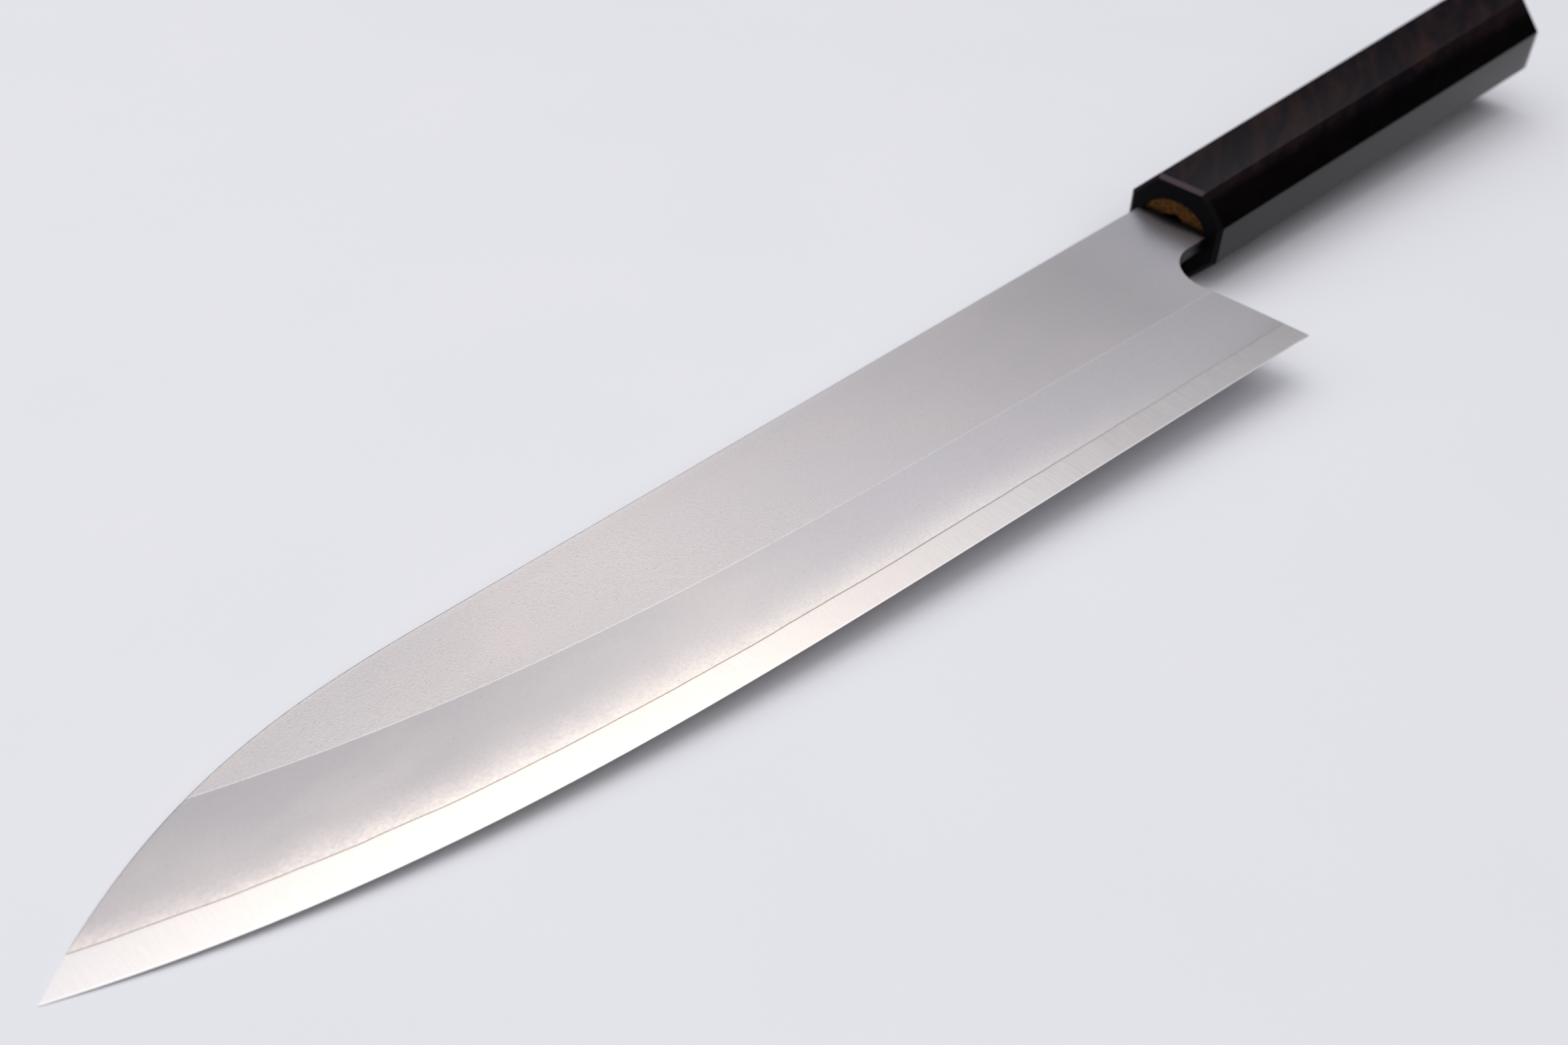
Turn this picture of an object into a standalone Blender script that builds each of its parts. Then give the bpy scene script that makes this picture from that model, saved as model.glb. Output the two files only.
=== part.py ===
"""A wa-gyuto: a three-layer Japanese chef knife on an octagonal wooden handle.

The knife lies on its side. The origin is the centre of the handle's butt face, the
tip points to -X, the cutting edge faces -Y and +Z is the blade's left side. The
blade's middle plane is Z = 0. Lengths along the knife are given as the distance
"ahead" of the handle's front face, positive towards the tip.
"""
import math

import bmesh
import bpy

MM = 0.001

# Handle
HANDLE_LENGTH = 142 * MM
FRONT_HALF_HEIGHT = 11.5 * MM      # across the spine and edge sides, at the front face
FRONT_HALF_WIDTH = 10.5 * MM       # across the left and right sides, at the front face
BUTT_HALF_HEIGHT = 13.3 * MM
BUTT_HALF_WIDTH = 12.1 * MM
BROAD_FLAT = 0.495                 # left and right flats, as a share of the height
NARROW_FLAT = 0.400                # spine and edge flats, as a share of the width
FRONT_CHAMFER = 0.9 * MM
BUTT_ROUND = 0.7 * MM
LONG_EDGE_ROUND = 0.35 * MM

# Wooden insert, the slot burned into it, and the resin in the slot
INSERT_HALF_HEIGHT = 8.0 * MM
INSERT_HALF_WIDTH = 6.1 * MM
INSERT_LENGTH = 100 * MM
INSERT_RECESS = 0.25 * MM          # its end grain sits just inside the handle's face
GLUE_LINE = 0.1 * MM
BORE_END_GAP = 1 * MM
SLOT_MOUTH_CLEARANCE = 0.25 * MM
SLOT_END_CLEARANCE = 0.9 * MM      # the slot narrows less than the tang does
SLOT_END_GAP = 1.5 * MM
RESIN_SETBACK = 7 * MM             # the resin's surface, behind the handle's face
RESIN_GAP = 0.05 * MM
PIT_HALF_HEIGHT = 2.6 * MM         # the burnt pocket beside the tang, left side only
PIT_DEPTH = 5 * MM
PIT_REACH = 3.1 * MM

# Blade outline, seen from its left side
CHOIL_AHEAD = 14.3 * MM            # the heel's corner, ahead of the handle
BLADE_END = 254.2 * MM             # the tip
EDGE_START_Y = -42.83 * MM
EDGE_RISE = 0.0667                 # how the straight part of the edge climbs
BELLY_START = 89 * MM
BELLY_CLIMB = 15.84 * MM
BELLY_POWER = 3.7
SPINE_START_Y = 8.75 * MM
SPINE_RISE = 0.0142
POINT_START = 181 * MM
POINT_DROP = 22.4 * MM
POINT_POWER = 2.78
CHOIL_LEAN = 0.101                 # how the choil leans towards the tip
CHOIL_TOP_Y = -18.4 * MM
CHOIL_RADIUS = 10 * MM
NECK_GAP = 0.3 * MM                # the neck's shoulders stand just off the handle

# Bevel, from the edge up to the shinogi line where the upper flat begins
BEVEL_WIDTH = 20.8 * MM
BEVEL_GROWTH = 4.7 * MM
BEVEL_GROWTH_START = 105 * MM
BEVEL_GROWTH_RUN = 115 * MM
EDGE_HALF = 0.08 * MM
HEEL_HALF = 1.32 * MM              # half thickness at the shinogi, by the heel
TIP_HALF = 0.40 * MM
CONVEXITY = 0.3
FLAT_TAPER = 0.0075
CORE_LINE = 0.256                  # where the cladding ends, as a share of the bevel
CORE_LINE_DIP = 0.025              # the line drops a little towards the edge at the tip
CORE_DIP_START = 225 * MM
WELD_GAP = 0.02 * MM               # the forge weld, kept as a hairline between layers

# Hidden tang
TANG_LENGTH = 92 * MM
TANG_ROOT_HALF = 6.6 * MM
TANG_END_HALF = 2.6 * MM
TANG_CENTRE_Y = 0.3 * MM

# Cutters
CUTTER_HALF = 8 * MM
FAR = 60 * MM                      # how far a cutter reaches past what it cuts
RUN_OUT = 30 * MM                  # the layers start this far behind the tang, then are cut

# Mesh density
STRAIGHT_STATIONS = 7
CURVED_STATIONS = 34
CURVE_START = 90 * MM
ARC_STEPS = 10
ELLIPSE_STEPS = 48
BEVEL_ROWS = 5
CORE_ROWS = 3
EASED_SEGMENTS = 2
PIT_SUBDIVISIONS = 2
SHARP_ANGLE = math.radians(40)
HALVINGS = 40                      # steps of a search by halving
MERGE = 0.000001

# name: (base colour, metallic, roughness)
FINISHES = {
    "core_steel": ((0.72, 0.69, 0.66), 1.0, 0.30),
    "clad_steel": ((0.52, 0.51, 0.51), 1.0, 0.42),
    "ebony": ((0.028, 0.020, 0.022), 0.0, 0.30),
    "insert_wood": ((0.24, 0.12, 0.045), 0.0, 0.85),
    "resin": ((0.05, 0.035, 0.025), 0.0, 0.40),
}


# ---------------------------------------------------------------- scene and materials

def clear_scene():
    for old in list(bpy.data.objects):
        bpy.data.objects.remove(old, do_unlink=True)


def new_collection(name):
    collection = bpy.data.collections.new(name)
    bpy.context.scene.collection.children.link(collection)
    return collection


def make_material(name):
    colour, metallic, roughness = FINISHES[name]
    material = bpy.data.materials.new(name)
    material.use_nodes = True
    shader = material.node_tree.nodes["Principled BSDF"]
    shader.inputs["Base Color"].default_value = (*colour, 1.0)
    shader.inputs["Metallic"].default_value = metallic
    shader.inputs["Roughness"].default_value = roughness
    return material


def add_object(name, mesh, collection, material=None):
    obj = bpy.data.objects.new(name, mesh)
    collection.objects.link(obj)
    if material:
        mesh.materials.append(material)
    return obj


def make_cutter(obj):
    obj.hide_render = True
    obj.display_type = "WIRE"


def cut(target, cutter):
    boolean = target.modifiers.new("cut_" + cutter.name, "BOOLEAN")
    boolean.operation = "DIFFERENCE"
    boolean.solver = "EXACT"
    boolean.object = cutter


# ---------------------------------------------------------------- blade shape

def x_at(ahead):
    """World X of a place that lies this far ahead of the handle's front face."""
    return -HANDLE_LENGTH - ahead


def grown(ahead, start, run, amount, power):
    """Zero up to start, then a power curve that reaches amount after run."""
    share = max(0.0, ahead - start) / run
    return amount * share ** power


def edge_y(ahead):
    ahead = max(ahead, CHOIL_AHEAD)
    belly = grown(ahead, BELLY_START, BLADE_END - BELLY_START, BELLY_CLIMB, BELLY_POWER)
    return EDGE_START_Y + EDGE_RISE * ahead + belly


def spine_y(ahead):
    drop = grown(ahead, POINT_START, BLADE_END - POINT_START, POINT_DROP, POINT_POWER)
    straight = SPINE_START_Y + SPINE_RISE * max(ahead, 0.0)
    return max(straight - drop, edge_y(ahead))


def bevel_width(ahead):
    return BEVEL_WIDTH + grown(ahead, BEVEL_GROWTH_START, BEVEL_GROWTH_RUN, BEVEL_GROWTH, 2)


def shinogi_half(ahead):
    """Half thickness at the shinogi: it thins evenly from the heel to the tip."""
    run = (max(ahead, CHOIL_AHEAD) - CHOIL_AHEAD) / (BLADE_END - CHOIL_AHEAD)
    return HEEL_HALF + (TIP_HALF - HEEL_HALF) * run


def bevel_half(ahead, share):
    """Half thickness at a share of the way from the edge to the shinogi, slightly convex."""
    rise = share + CONVEXITY * share * (1 - share)
    return EDGE_HALF + (shinogi_half(ahead) - EDGE_HALF) * rise


def half_thickness(ahead, y):
    above_edge = y - edge_y(ahead)
    width = bevel_width(ahead)
    if above_edge < width:
        return bevel_half(ahead, above_edge / width)
    return shinogi_half(ahead) + FLAT_TAPER * (above_edge - width)


def core_line(ahead):
    """Share of the bevel at which the cladding gives way to the bare core."""
    dip = grown(ahead, CORE_DIP_START, BLADE_END - CORE_DIP_START, CORE_LINE_DIP, 2)
    return CORE_LINE - dip


def core_half(ahead):
    """Half thickness of the core where the cladding lies over it."""
    return bevel_half(ahead, core_line(ahead))


def feather_share(ahead):
    """Share of the bevel at which the cladding runs out to nothing."""
    goal = core_half(ahead) + WELD_GAP
    low, high = core_line(ahead), 1.0
    for _ in range(HALVINGS):
        middle = (low + high) / 2
        if bevel_half(ahead, middle) < goal:
            low = middle
        else:
            high = middle
    return high


def cladding_end():
    """The last place ahead of the handle where the spine still clears the feather line."""
    low, high = POINT_START, BLADE_END
    for _ in range(HALVINGS):
        middle = (low + high) / 2
        feather = edge_y(middle) + feather_share(middle) * bevel_width(middle)
        if feather < spine_y(middle):
            low = middle
        else:
            high = middle
    return low


def stations(end):
    """Places along the blade: few where it is straight, closer together near the tip."""
    start = -TANG_LENGTH - RUN_OUT
    places = [start, CHOIL_AHEAD]
    for step in range(1, STRAIGHT_STATIONS):
        places.append(CHOIL_AHEAD + (CURVE_START - CHOIL_AHEAD) * step / STRAIGHT_STATIONS)
    for step in range(CURVED_STATIONS + 1):
        turn = math.pi / 2 * step / CURVED_STATIONS
        places.append(CURVE_START + (end - CURVE_START) * math.sin(turn))
    return places


def on_blade(ahead, share):
    """Y of a row at a share of the bevel's width, kept below the spine."""
    return min(edge_y(ahead) + share * bevel_width(ahead), spine_y(ahead))


def core_section(ahead):
    rows = [on_blade(ahead, core_line(ahead) * step / CORE_ROWS) for step in range(CORE_ROWS + 1)]
    flank = [(y, min(half_thickness(ahead, y), core_half(ahead))) for y in rows]
    top = spine_y(ahead)
    flank.append((top, min(half_thickness(ahead, top), core_half(ahead))))
    return flank + [(y, -z) for y, z in reversed(flank)]


def cladding_section(ahead):
    feather = feather_share(ahead)
    shares = [feather + (1 - feather) * step / BEVEL_ROWS for step in range(BEVEL_ROWS + 1)]
    rows = [on_blade(ahead, share) for share in shares] + [spine_y(ahead)]
    inner = core_half(ahead) + WELD_GAP
    outer = [(y, max(half_thickness(ahead, y), inner)) for y in rows]
    return outer + [(spine_y(ahead), inner)]


def loft(name, section, places, mirrored, collection, material):
    """Join the sections at all the places into one closed body."""
    side = -1 if mirrored else 1
    bm = bmesh.new()
    rings = []
    for ahead in places:
        ring = [bm.verts.new((x_at(ahead), y, side * z)) for y, z in section(ahead)]
        rings.append(ring)
    for ring, following in zip(rings, rings[1:]):
        for here in range(len(ring)):
            beside = (here + 1) % len(ring)
            bm.faces.new((ring[here], ring[beside], following[beside], following[here]))
    bm.faces.new(rings[0])
    bm.faces.new(rings[-1])
    bmesh.ops.remove_doubles(bm, verts=bm.verts, dist=MERGE)
    bmesh.ops.recalc_face_normals(bm, faces=bm.faces)
    mesh = bpy.data.meshes.new(name)
    bm.to_mesh(mesh)
    bm.free()
    return add_object(name, mesh, collection, material)


# ---------------------------------------------------------------- outline cutters

def flat_cutter(name, points, collection):
    """A filled outline in the XY plane, made thick enough to pass through the blade."""
    curve = bpy.data.curves.new(name, "CURVE")
    curve.dimensions = "2D"
    curve.fill_mode = "BOTH"
    curve.extrude = CUTTER_HALF
    spline = curve.splines.new("POLY")
    spline.points.add(len(points) - 1)
    for point, (x, y) in zip(spline.points, points):
        point.co = (x, y, 0, 1)
    spline.use_cyclic_u = True
    source = add_object(name + "_outline", curve, collection)
    bpy.context.view_layer.update()
    evaluated = source.evaluated_get(bpy.context.evaluated_depsgraph_get())
    mesh = bpy.data.meshes.new_from_object(evaluated)
    bm = bmesh.new()
    bm.from_mesh(mesh)
    bmesh.ops.remove_doubles(bm, verts=bm.verts, dist=MERGE)
    bmesh.ops.recalc_face_normals(bm, faces=bm.faces)
    bm.to_mesh(mesh)
    bm.free()
    cutter = add_object(name, mesh, collection)
    cutter.matrix_world = source.matrix_world
    bpy.data.objects.remove(source, do_unlink=True)
    make_cutter(cutter)
    return cutter


def tang_half(behind):
    """Half height of the tang at a distance behind the handle's front face."""
    return TANG_ROOT_HALF + (TANG_END_HALF - TANG_ROOT_HALF) * behind / TANG_LENGTH


def choil_points():
    """From below the heel, up the choil and round its curve to the neck's underside."""
    heel_y = edge_y(CHOIL_AHEAD)
    low_ahead = CHOIL_AHEAD - CHOIL_LEAN * FAR
    top_ahead = CHOIL_AHEAD + CHOIL_LEAN * (CHOIL_TOP_Y - heel_y)
    points = [(x_at(low_ahead), heel_y - FAR), (x_at(top_ahead), CHOIL_TOP_Y)]
    for step in range(1, ARC_STEPS + 1):
        turn = math.pi / 2 * step / ARC_STEPS
        across = top_ahead - CHOIL_RADIUS * (1 - math.cos(turn))
        points.append((x_at(across), CHOIL_TOP_Y + CHOIL_RADIUS * math.sin(turn)))
    return points


def lower_outline():
    """Everything to remove below the neck and the tang."""
    shoulder = x_at(NECK_GAP)
    root = TANG_CENTRE_Y - tang_half(0)
    end = TANG_CENTRE_Y - tang_half(TANG_LENGTH)
    tang_end = x_at(-TANG_LENGTH)
    points = choil_points()
    points += [(shoulder, points[-1][1]), (shoulder, root), (tang_end, end)]
    points += [(tang_end, TANG_CENTRE_Y), (tang_end + FAR, TANG_CENTRE_Y)]
    points.append((tang_end + FAR, points[0][1]))
    return points


def upper_outline():
    """Everything to remove above the tang."""
    shoulder = x_at(NECK_GAP)
    root = TANG_CENTRE_Y + tang_half(0)
    end = TANG_CENTRE_Y + tang_half(TANG_LENGTH)
    tang_end = x_at(-TANG_LENGTH)
    points = [(shoulder, FAR), (shoulder, root), (tang_end, end)]
    points += [(tang_end, TANG_CENTRE_Y - TANG_END_HALF / 2)]
    points += [(tang_end + FAR, TANG_CENTRE_Y - TANG_END_HALF / 2), (tang_end + FAR, FAR)]
    return points


# ---------------------------------------------------------------- handle and insert

def octagon(half_height, half_width):
    """Corners of the handle's section, in order, as (y, z)."""
    flat_y = BROAD_FLAT * half_height
    flat_z = NARROW_FLAT * half_width
    quarter = [(half_height, flat_z), (flat_y, half_width)]
    upper = quarter + [(-y, z) for y, z in reversed(quarter)]
    return upper + [(y, -z) for y, z in reversed(upper)]


def handle_body(collection, material):
    front_x = x_at(0)
    bm = bmesh.new()
    front = [bm.verts.new((front_x, y, z)) for y, z in octagon(FRONT_HALF_HEIGHT, FRONT_HALF_WIDTH)]
    butt = [bm.verts.new((0, y, z)) for y, z in octagon(BUTT_HALF_HEIGHT, BUTT_HALF_WIDTH)]
    bm.faces.new(front)
    bm.faces.new(butt)
    for here in range(len(front)):
        beside = (here + 1) % len(front)
        bm.faces.new((front[here], front[beside], butt[beside], butt[here]))
    bmesh.ops.recalc_face_normals(bm, faces=bm.faces)
    weights = bm.edges.layers.float.new("bevel_weight_edge")
    for edge in bm.edges:
        ends = [vert in front for vert in edge.verts]
        if all(ends):
            edge[weights] = 1.0
        elif not any(ends):
            edge[weights] = BUTT_ROUND / FRONT_CHAMFER
        else:
            edge[weights] = LONG_EDGE_ROUND / FRONT_CHAMFER
    mesh = bpy.data.meshes.new("handle")
    bm.to_mesh(mesh)
    bm.free()
    handle = add_object("handle", mesh, collection, material)
    bevel = handle.modifiers.new("eased_edges", "BEVEL")
    bevel.limit_method = "WEIGHT"
    bevel.width = FRONT_CHAMFER
    bevel.segments = EASED_SEGMENTS
    return handle


def oval_rod(name, half_height, half_width, front_behind, length, collection, material=None):
    """An oval rod along X, whose front lies this far behind the handle's front face."""
    centre = x_at(-front_behind - length / 2)
    bpy.ops.mesh.primitive_cylinder_add(
        vertices=ELLIPSE_STEPS, radius=1, depth=1,
        location=(centre, 0, 0), rotation=(0, math.pi / 2, 0),
    )
    rod = bpy.context.object
    rod.name = name
    rod.data.name = name
    rod.scale = (half_width, half_height, length)
    bpy.ops.object.transform_apply(location=False, rotation=True, scale=True)
    rod.data.set_sharp_from_angle(angle=SHARP_ANGLE)
    for owner in list(rod.users_collection):
        owner.objects.unlink(rod)
    collection.objects.link(rod)
    if material:
        rod.data.materials.append(material)
    return rod


def slot_clearance(behind):
    """Room between the tang and the slot, which opens up away from the mouth."""
    share = max(behind, 0.0) / TANG_LENGTH
    return SLOT_MOUTH_CLEARANCE + (SLOT_END_CLEARANCE - SLOT_MOUTH_CLEARANCE) * share


def tang_wedge(name, growths, start, end, collection, material=None):
    """A tapered block that follows the tang, grown all round by its two growths."""
    bm = bmesh.new()
    corners = [(1, 1), (-1, 1), (-1, -1), (1, -1)]
    rings = []
    for behind, growth in zip((start, end), growths):
        half_y = tang_half(behind) + growth
        half_z = half_thickness(0, SPINE_START_Y) + growth
        ring = [bm.verts.new((x_at(-behind), TANG_CENTRE_Y + a * half_y, b * half_z))
                for a, b in corners]
        rings.append(ring)
    for here in range(4):
        beside = (here + 1) % 4
        bm.faces.new((rings[0][here], rings[0][beside], rings[1][beside], rings[1][here]))
    for ring in rings:
        bm.faces.new(ring)
    bmesh.ops.recalc_face_normals(bm, faces=bm.faces)
    mesh = bpy.data.meshes.new(name)
    bm.to_mesh(mesh)
    bm.free()
    return add_object(name, mesh, collection, material)


def burnt_pit(collection):
    """The pocket that the hot tang charred beside itself, open at the insert's face."""
    centre = (x_at(0), TANG_CENTRE_Y, half_thickness(0, SPINE_START_Y))
    bpy.ops.mesh.primitive_ico_sphere_add(
        subdivisions=PIT_SUBDIVISIONS, radius=1, location=centre,
    )
    pit = bpy.context.object
    pit.name = "burnt_pit"
    pit.scale = (PIT_DEPTH, PIT_HALF_HEIGHT, PIT_REACH - centre[2])
    bpy.ops.object.transform_apply(location=False, rotation=False, scale=True)
    for owner in list(pit.users_collection):
        owner.objects.unlink(pit)
    collection.objects.link(pit)
    make_cutter(pit)
    return pit


# ---------------------------------------------------------------- the sub-parts

def build_blade(parts, cutters):
    below = flat_cutter("below_neck", lower_outline(), cutters)
    above = flat_cutter("above_tang", upper_outline(), cutters)
    core_steel = make_material("core_steel")
    clad_steel = make_material("clad_steel")
    full = stations(BLADE_END)
    clad = stations(cladding_end())
    layers = [
        loft("blade_core", core_section, full, False, parts, core_steel),
        loft("cladding_left", cladding_section, clad, False, parts, clad_steel),
        loft("cladding_right", cladding_section, clad, True, parts, clad_steel),
    ]
    for layer in layers:
        cut(layer, below)
        cut(layer, above)


def build_handle(parts, cutters):
    handle = handle_body(parts, make_material("ebony"))
    bore = oval_rod("bore", INSERT_HALF_HEIGHT + GLUE_LINE, INSERT_HALF_WIDTH + GLUE_LINE,
                    -FRONT_CHAMFER, FRONT_CHAMFER + INSERT_LENGTH + BORE_END_GAP, cutters)
    make_cutter(bore)
    cut(handle, bore)


def build_insert(parts, cutters):
    insert = oval_rod("handle_insert", INSERT_HALF_HEIGHT, INSERT_HALF_WIDTH,
                      INSERT_RECESS, INSERT_LENGTH - INSERT_RECESS, parts,
                      make_material("insert_wood"))
    start = -NECK_GAP
    end = TANG_LENGTH + SLOT_END_GAP
    slot = tang_wedge("slot", (slot_clearance(start), slot_clearance(end)), start, end, cutters)
    make_cutter(slot)
    cut(insert, slot)
    cut(insert, burnt_pit(cutters))


def build_resin(parts, cutters):
    start = RESIN_SETBACK
    end = TANG_LENGTH + SLOT_END_GAP - RESIN_GAP
    growths = (slot_clearance(start) - RESIN_GAP, slot_clearance(end) - RESIN_GAP)
    resin = tang_wedge("tang_resin", growths, start, end, parts, make_material("resin"))
    hollow = tang_wedge("tang_room", (RESIN_GAP, RESIN_GAP), start - MM,
                        TANG_LENGTH + RESIN_GAP, cutters)
    make_cutter(hollow)
    cut(resin, hollow)


def main():
    clear_scene()
    parts = new_collection("chef_knife")
    cutters = new_collection("cutters")
    build_blade(parts, cutters)
    build_handle(parts, cutters)
    build_insert(parts, cutters)
    build_resin(parts, cutters)


main()
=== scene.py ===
"""The looks of a wa-gyuto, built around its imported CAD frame.

The frame's origin is the centre of the handle's butt face. The tip points to -X, the
cutting edge faces -Y and +Z is the blade's left side. "Ahead" is the distance from the
handle's front face, positive towards the tip.
"""
import math

import bmesh
import bpy
from mathutils import Matrix, Vector, noise


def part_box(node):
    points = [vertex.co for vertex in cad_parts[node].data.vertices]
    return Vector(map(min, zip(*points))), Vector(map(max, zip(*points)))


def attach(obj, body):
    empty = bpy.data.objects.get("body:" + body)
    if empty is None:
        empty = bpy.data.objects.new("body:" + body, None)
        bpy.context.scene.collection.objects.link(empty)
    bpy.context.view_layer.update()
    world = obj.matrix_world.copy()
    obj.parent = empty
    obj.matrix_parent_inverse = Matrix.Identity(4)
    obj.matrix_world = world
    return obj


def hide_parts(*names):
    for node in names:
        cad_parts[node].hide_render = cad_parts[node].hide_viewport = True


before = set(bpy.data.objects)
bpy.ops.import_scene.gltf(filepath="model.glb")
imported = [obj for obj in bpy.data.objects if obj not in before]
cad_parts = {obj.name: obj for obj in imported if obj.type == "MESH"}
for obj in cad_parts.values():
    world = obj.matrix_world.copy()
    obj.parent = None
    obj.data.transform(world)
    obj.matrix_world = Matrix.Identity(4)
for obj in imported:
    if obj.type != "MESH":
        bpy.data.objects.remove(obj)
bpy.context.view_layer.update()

MM = 0.001

# Places taken from the frame
HANDLE_LOW, HANDLE_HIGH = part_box("handle")
CORE_LOW, CORE_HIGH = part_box("blade_core")
INSERT_LOW, INSERT_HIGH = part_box("handle_insert")
HANDLE_LENGTH = HANDLE_HIGH.x - HANDLE_LOW.x
FRONT_X = HANDLE_LOW.x
BLADE_END = FRONT_X - CORE_LOW.x
TANG_LENGTH = CORE_HIGH.x - FRONT_X
BUTT_HALF_HEIGHT = HANDLE_HIGH.y
BUTT_HALF_WIDTH = HANDLE_HIGH.z
INSERT_HALF_HEIGHT = INSERT_HIGH.y
INSERT_HALF_WIDTH = INSERT_HIGH.z
INSERT_RECESS = INSERT_LOW.x - FRONT_X
INSERT_LENGTH = INSERT_HIGH.x - FRONT_X

# Handle
FRONT_HALF_HEIGHT = 11.5 * MM
FRONT_HALF_WIDTH = 10.5 * MM
BROAD_FLAT = 0.495                 # how much of the half height a side flat takes
NARROW_FLAT = 0.400                # how much of the half width the top flat takes
FRONT_CHAMFER = 0.9 * MM
BUTT_ROUND = 1.4 * MM
LONG_EDGE_ROUND = 0.45 * MM
ROUND_STEPS = 5
HANDLE_STATIONS = 48
BORE_GAP = 0.1 * MM
BORE_END_GAP = 1 * MM

# Blade outline and section
CHOIL_AHEAD = 14.3 * MM
EDGE_RISE = 0.0667                 # slope of the straight part of the edge
EDGE_START_Y = CORE_LOW.y - EDGE_RISE * CHOIL_AHEAD
BELLY_START = 89 * MM              # where the edge begins to climb towards the tip
BELLY_CLIMB = 15.84 * MM
BELLY_POWER = 3.7
SPINE_START_Y = 8.75 * MM
SPINE_RISE = 0.0142
POINT_START = 181 * MM             # where the spine begins to drop towards the tip
POINT_DROP = 22.4 * MM
POINT_POWER = 2.78
CHOIL_LEAN = 0.101
CHOIL_TOP_Y = -18.4 * MM
CHOIL_RADIUS = 10 * MM
NECK_GAP = 0.3 * MM
BEVEL_WIDTH = 20.8 * MM
BEVEL_GROWTH = 4.7 * MM
BEVEL_GROWTH_START = 105 * MM
BEVEL_GROWTH_RUN = 115 * MM
EDGE_HALF = 0.08 * MM
HEEL_HALF = 1.32 * MM
TIP_HALF = 0.40 * MM
CONVEXITY = 0.3
FLAT_TAPER = 0.0075
CORE_LINE = 0.256                  # share of the bevel that is bare core
CORE_LINE_DIP = 0.025              # how much less of it there is at the tip
CORE_DIP_START = 225 * MM
LINE_WAVE = 0.0065                 # the lamination line wanders by this share of the bevel
LINE_WAVE_LENGTH = 7 * MM
QUICK_WAVE = 3                     # a finer wave runs along with it, this much quicker
QUICK_WAVE_SHARE = 0.4
WAVE_ROW = 0.5                     # where in the noise each wave is read
QUICK_WAVE_ROW = 7.5
GROOVE_WIDTH = 0.17 * MM           # the lamination line, an even fine groove
SPINE_EASE = 0.22 * MM
EASE_OF_THICKNESS = 0.5            # the spine's rounding takes at most these shares of
EASE_OF_HEIGHT = 0.2               # the half thickness and of the height above the edge
RIDGE_HOLD = 0.05 * MM             # rows this close to a ridge keep its shading crisp
FEATHER_EDGE = 0.002 * MM          # the cladding's thickness where it runs out
TANG_ROOT_HALF = 6.6 * MM
TANG_END_HALF = 2.6 * MM
TANG_CENTRE_Y = 0.3 * MM
SLOT_MOUTH_CLEARANCE = 0.25 * MM
SLOT_END_CLEARANCE = 0.9 * MM
SLOT_END_GAP = 1.5 * MM
PIT_HALF_HEIGHT = 2.6 * MM
PIT_DEPTH = 5 * MM
PIT_REACH = 3.1 * MM
PIT_ROUGHNESS = 0.35
PIT_WAVES = 1.7
PIT_DIMENSION = 1.0
PIT_OCTAVE_STEP = 2.0
PIT_OCTAVES = 3

# Mesh density
STRAIGHT_STATIONS = 64
CURVED_STATIONS = 150
CURVE_START = 90 * MM
BEVEL_ROWS = 18
FLAT_ROWS = 14
CORE_ROWS = 10
EASE_STEPS = 4
ARC_STEPS = 40
ELLIPSE_STEPS = 144
PIT_SUBDIVISIONS = 4
HALVINGS = 40                      # steps in the search for a place along a curve
CUTTER_HALF = 8 * MM
FAR = 60 * MM                      # how far the cutters reach past the blade
RUN_OUT = 30 * MM                  # how far the blade's rings start behind the tang's end
MERGE = 0.0005 * MM                # vertices closer than this become one
BLADE_CREASE = 25                  # degrees; edges that turn by more than this stay crisp
CREASE = 30
OVAL_CREASE = 40

# The steel's tone along the blade, as (mm ahead of the handle, colour): the upper flat,
# the bevel, the polished band of the bevel beside the lamination line, and the bare core. Besides the
# steel's own tone, the ramps hold painted reflection of the lights, brighter and dimmer along the
# blade.
FLAT_TONES = ((0, (0.590, 0.582, 0.660)), (30, (0.530, 0.508, 0.532)), (100, (0.600, 0.570, 0.588)),
              (150, (0.652, 0.607, 0.607)), (195, (0.545, 0.514, 0.520)), (254, (0.470, 0.447, 0.457)))
BEVEL_TONES = ((0, (0.515, 0.497, 0.522)), (100, (0.550, 0.525, 0.550)), (150, (0.485, 0.458, 0.466)),
               (195, (0.398, 0.376, 0.386)), (254, (0.392, 0.373, 0.388)))
LINE_TONES = ((0, (0.410, 0.400, 0.425)), (60, (0.585, 0.560, 0.580)), (100, (0.765, 0.717, 0.715)),
              (150, (0.720, 0.655, 0.610)), (195, (0.722, 0.652, 0.612)), (254, (0.650, 0.592, 0.580)))
EDGE_TONES = ((0, (0.480, 0.457, 0.468)), (60, (0.535, 0.510, 0.515)), (100, (0.665, 0.628, 0.622)),
              (140, (0.715, 0.655, 0.620)), (170, (0.690, 0.634, 0.578)), (205, (0.708, 0.655, 0.608)),
              (254, (0.632, 0.604, 0.610)))
GLOW_WIDTH = 9.0                   # mm of the bevel that the painted highlight of the polished band fades over
FINISH_BLEND = 0.004               # share of the bevel over which its finish meets the flat's

# Colours of the marks on the cladding, of the painted shade low on its flat and of the painted
# highlight on its shinogi
WARM_FLAT = (0.66, 0.595, 0.585)
WARM_BEVEL = (0.66, 0.595, 0.570)
WARM_ON_BEVEL = 0.45               # how much fainter the warm patches are on the bevel
DIMPLE_GREY = (0.34, 0.32, 0.325)
# painted shade low on the flat
LOW_FLAT_SHADE = (0.30, 0.285, 0.285)
STROKE_GREY = (0.30, 0.29, 0.30)
SAND_GREY = (0.18, 0.17, 0.17)
SPOT_GREY = (0.16, 0.15, 0.15)
SPOT_STRENGTH = 0.55
# painted highlight along the shinogi's crest
SHINOGI_HIGHLIGHT = (0.80, 0.76, 0.76)
SPINE_GREY = (0.34, 0.33, 0.33)
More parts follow.
